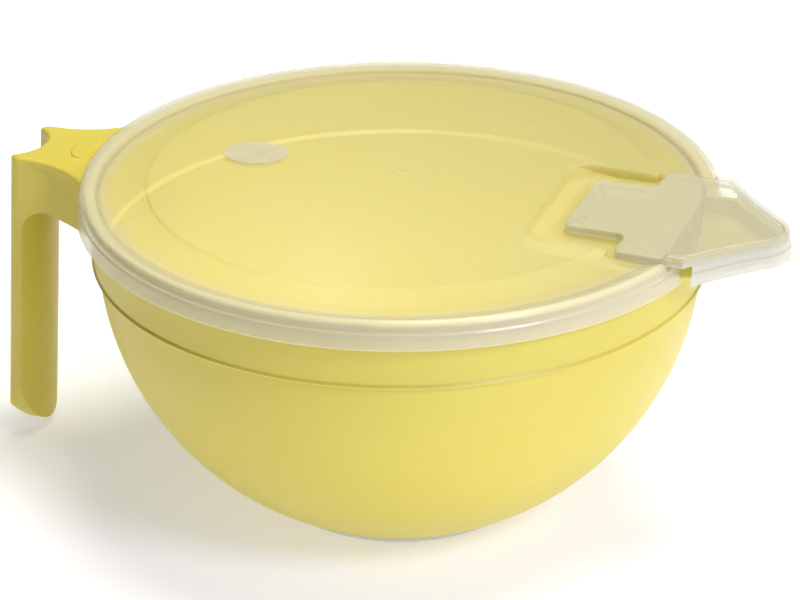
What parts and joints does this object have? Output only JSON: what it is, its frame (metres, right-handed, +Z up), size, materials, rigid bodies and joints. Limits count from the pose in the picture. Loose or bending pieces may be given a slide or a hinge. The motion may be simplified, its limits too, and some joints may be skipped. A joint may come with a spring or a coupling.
{
  "type": "suction bowl",
  "caption": "Round mixing bowl with a grip handle and pouring beak, press-on lid, lift-off spout cap and a soft suction ring under the foot.",
  "frame": {"origin": "on the bowl's axis, in the plane of the suction ring's underside", "axes": "+Z up along the bowl's axis, +X towards the pouring beak, -X towards the handle"},
  "size_m": [0.2873, 0.225, 0.1224],
  "materials": {
    "bowl_plastic": "pastel yellow polypropylene, softly polished, slightly translucent",
    "lid_plastic": "milky translucent polyethylene, satin",
    "cap_plastic": "clearer translucent polyethylene, satin",
    "ring_silicone": "grey translucent silicone"
  },
  "bodies": {
    "bowl": {"bowl": "bowl_plastic", "suction_ring": "ring_silicone"},
    "lid": {"lid": "lid_plastic"},
    "spout_cap": {"spout_cap": "cap_plastic"}
  },
  "joints": [
    {"name": "lid_lift", "type": "slide", "parent": "bowl", "child": "lid", "axis": [0, 0, 1], "range_m": [0, 0.06]},
    {"name": "cap_lift", "type": "slide", "parent": "lid", "child": "spout_cap", "axis": [0, 0, 1], "range_m": [0, 0.03]}
  ]
}
